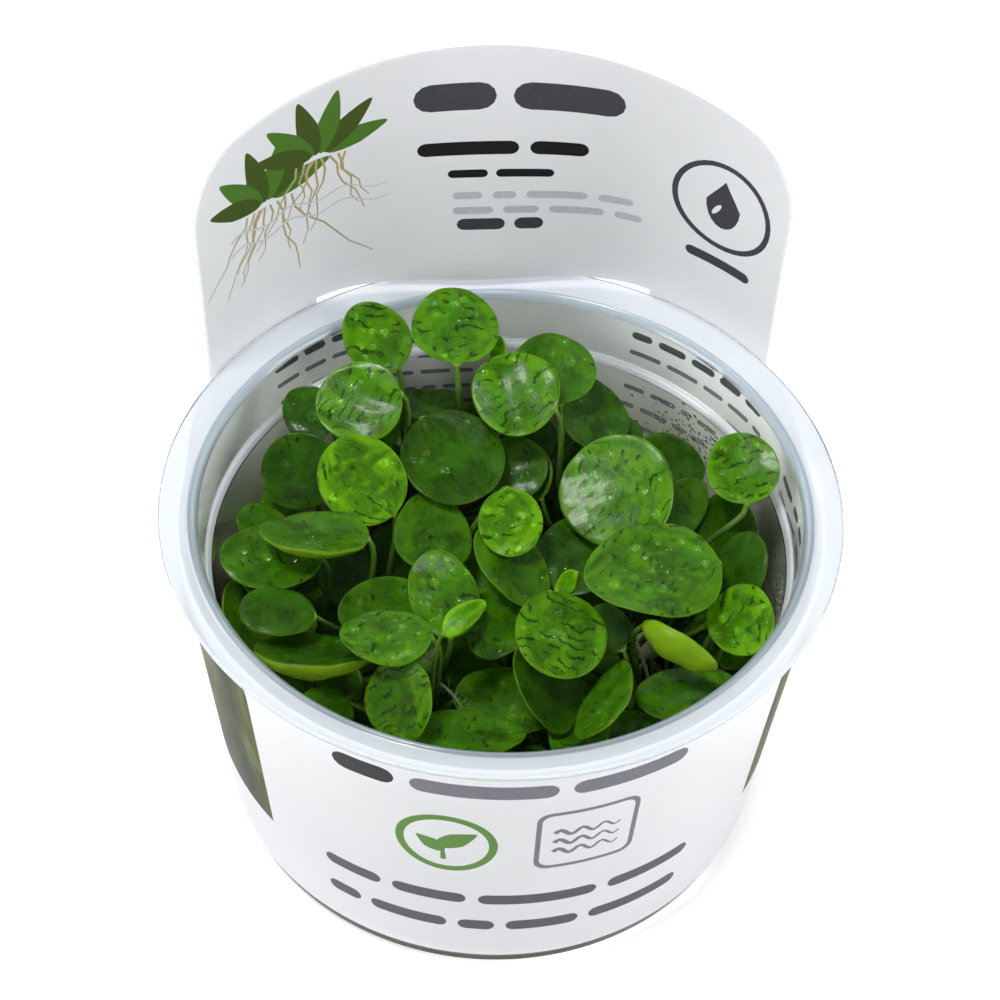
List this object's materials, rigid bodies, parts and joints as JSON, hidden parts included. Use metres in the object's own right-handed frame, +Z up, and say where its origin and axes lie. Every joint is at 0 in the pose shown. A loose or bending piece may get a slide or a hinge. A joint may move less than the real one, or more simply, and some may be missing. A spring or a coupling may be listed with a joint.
{
  "type": "frogbit plantlets in a culture cup",
  "caption": "Young frogbit plantlets with round floating leaves, growing in a clear round cup with a wide flange and a card sleeve that rises behind as a header.",
  "frame": {"origin": "on the cup's axis, in the plane of its flat underside", "axes": "+Z up along the cup's axis, +Y to the back where the header card rises, +X to the right"},
  "size_m": [0.1, 0.1, 0.1033],
  "materials": {
    "clear_plastic": "clear, slightly frosted moulded plastic",
    "printed_card": "white satin card, printed",
    "clear_gel": "clear, wet gel",
    "leaf_green": "waxy green leaf with dark streaks",
    "crown_green": "pale green stem and root",
    "water": "clear water drop"
  },
  "bodies": {
    "root": {"cup": "clear_plastic", "card_sleeve": "printed_card", "growth_medium": "clear_gel", "crown_a": "crown_green", "crown_b": "crown_green", "crown_c": "crown_green", "crown_d": "crown_green", "crown_e": "crown_green", "crown_f": "crown_green", "crown_g": "crown_green", "crown_h": "crown_green", "crown_i": "crown_green", "leaf_a1": "leaf_green", "leaf_a2": "leaf_green", "leaf_a3": "leaf_green", "leaf_a4": "leaf_green", "leaf_b1": "leaf_green", "leaf_b2": "leaf_green", "leaf_b3": "leaf_green", "leaf_b4": "leaf_green", "leaf_b5": "leaf_green", "leaf_b6": "leaf_green", "leaf_c1": "leaf_green", "leaf_c2": "leaf_green", "leaf_c3": "leaf_green", "leaf_c4": "leaf_green", "leaf_c5": "leaf_green", "leaf_d1": "leaf_green", "leaf_d2": "leaf_green", "leaf_d3": "leaf_green", "leaf_d4": "leaf_green", "leaf_e1": "leaf_green", "leaf_e2": "leaf_green", "leaf_e3": "leaf_green", "leaf_e4": "leaf_green", "leaf_f1": "leaf_green", "leaf_f2": "leaf_green", "leaf_f3": "leaf_green", "leaf_f4": "leaf_green", "leaf_f5": "leaf_green", "leaf_f6": "leaf_green", "leaf_g1": "leaf_green", "leaf_g2": "leaf_green", "leaf_g3": "leaf_green", "leaf_g4": "leaf_green", "leaf_g5": "leaf_green", "leaf_g6": "leaf_green", "leaf_h1": "leaf_green", "leaf_h2": "leaf_green", "leaf_h3": "leaf_green", "leaf_h4": "leaf_green", "leaf_i1": "leaf_green", "leaf_i2": "leaf_green", "leaf_i3": "leaf_green", "leaf_i4": "leaf_green", "leaf_i5": "leaf_green", "leaf_i6": "leaf_green"}
  },
  "joints": []
}
